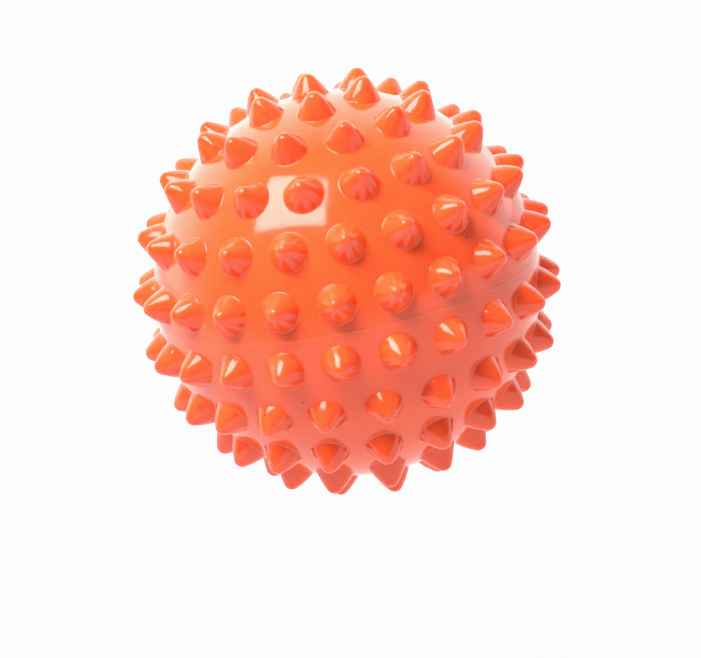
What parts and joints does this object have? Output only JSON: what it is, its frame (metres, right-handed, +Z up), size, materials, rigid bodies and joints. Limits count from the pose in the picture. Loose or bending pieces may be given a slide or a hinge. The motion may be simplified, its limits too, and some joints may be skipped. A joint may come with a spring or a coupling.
{
  "type": "spiky massage ball",
  "caption": "Hollow soft-plastic massage ball with rows of short rounded cone spikes, made of two bonded half shells with a push-in air valve at one pole.",
  "frame": {"origin": "on the resting plane, straight under the ball's centre", "axes": "+Z up along the mould axis through both poles, with the valve at the lower pole; X and Y lie in the plane of the joint line"},
  "size_m": [0.0742, 0.074, 0.0735],
  "materials": {
    "upper_skin": "gloss",
    "lower_skin": "gloss",
    "seam": "gloss",
    "collar": "satin",
    "plug": "satin"
  },
  "bodies": {
    "ball": {"upper_half_shell": "upper_skin", "lower_half_shell": "lower_skin", "seam_weld_bead": "seam", "valve_collar": "collar"},
    "plug": {"valve_plug": "plug"}
  },
  "joints": [
    {"name": "plug_pull", "type": "slide", "parent": "ball", "child": "plug", "axis": [0, 0, -1], "range_m": [0, 0.008]}
  ]
}
